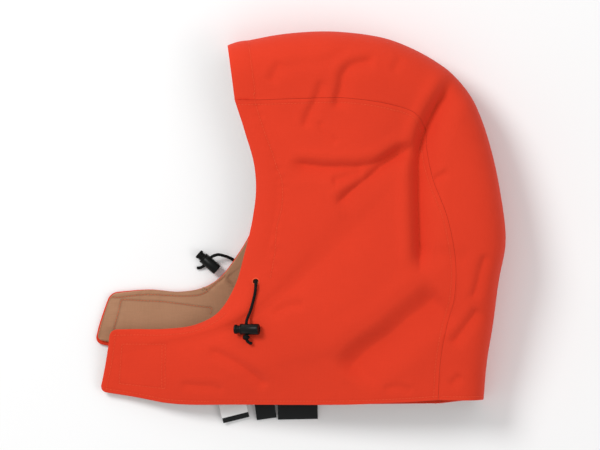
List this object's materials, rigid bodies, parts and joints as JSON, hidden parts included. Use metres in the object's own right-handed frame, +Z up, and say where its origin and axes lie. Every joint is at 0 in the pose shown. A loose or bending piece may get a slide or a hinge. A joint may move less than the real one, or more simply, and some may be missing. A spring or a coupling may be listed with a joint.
{
  "type": "arc-rated fleece hood",
  "caption": "Lined work hood lying on its side, with a closure tab on each side, a drawcord with barrel cord locks, and bare sewn-in labels.",
  "frame": {"origin": "on the surface it rests on, under the middle of the hood", "axes": "+Z up through the side it lies on, +Y from the neck hem to the crown, +X from the closure tabs to the back of the head"},
  "size_m": [0.4108, 0.3918, 0.071],
  "materials": {
    "orange_duck": "woven cotton duck, matt",
    "tan_fleece": "brushed fleece",
    "orange_stitching": "embroidered",
    "closure_tape": "hook-and-loop tape",
    "white_label": "satin tape",
    "black_label": "woven tape",
    "black_plastic": "moulded, satin",
    "black_cord": "braided"
  },
  "bodies": {
    "hood": {"shell_near_side": "orange_duck", "shell_far_side": "orange_duck", "shell_centre": "orange_duck", "lining_near_side": "tan_fleece", "lining_far_side": "tan_fleece", "lining_centre": "tan_fleece", "eyelet_near": "orange_stitching", "eyelet_far": "orange_stitching", "hook_patch": "closure_tape", "loop_strip": "closure_tape", "label_white": "white_label", "label_small_black": "black_label", "label_large_black": "black_label", "cord_lock_near_barrel": "black_plastic", "cord_lock_far_barrel": "black_plastic", "drawcord_near": "black_cord", "drawcord_near_knot": "black_cord", "drawcord_near_end": "black_cord", "drawcord_far": "black_cord"},
    "lock_near_plunger": {"cord_lock_near_plunger": "black_plastic"},
    "lock_far_plunger": {"cord_lock_far_plunger": "black_plastic"}
  },
  "joints": [
    {"name": "cord_lock_near_press", "type": "slide", "parent": "hood", "child": "lock_near_plunger", "axis": [0.9611, 0, 0.2764], "range_m": [0, 0.003], "stiffness_N_per_m": 900},
    {"name": "cord_lock_far_press", "type": "slide", "parent": "hood", "child": "lock_far_plunger", "axis": [0.7547, -0.6561, 0], "range_m": [0, 0.003], "stiffness_N_per_m": 900}
  ]
}
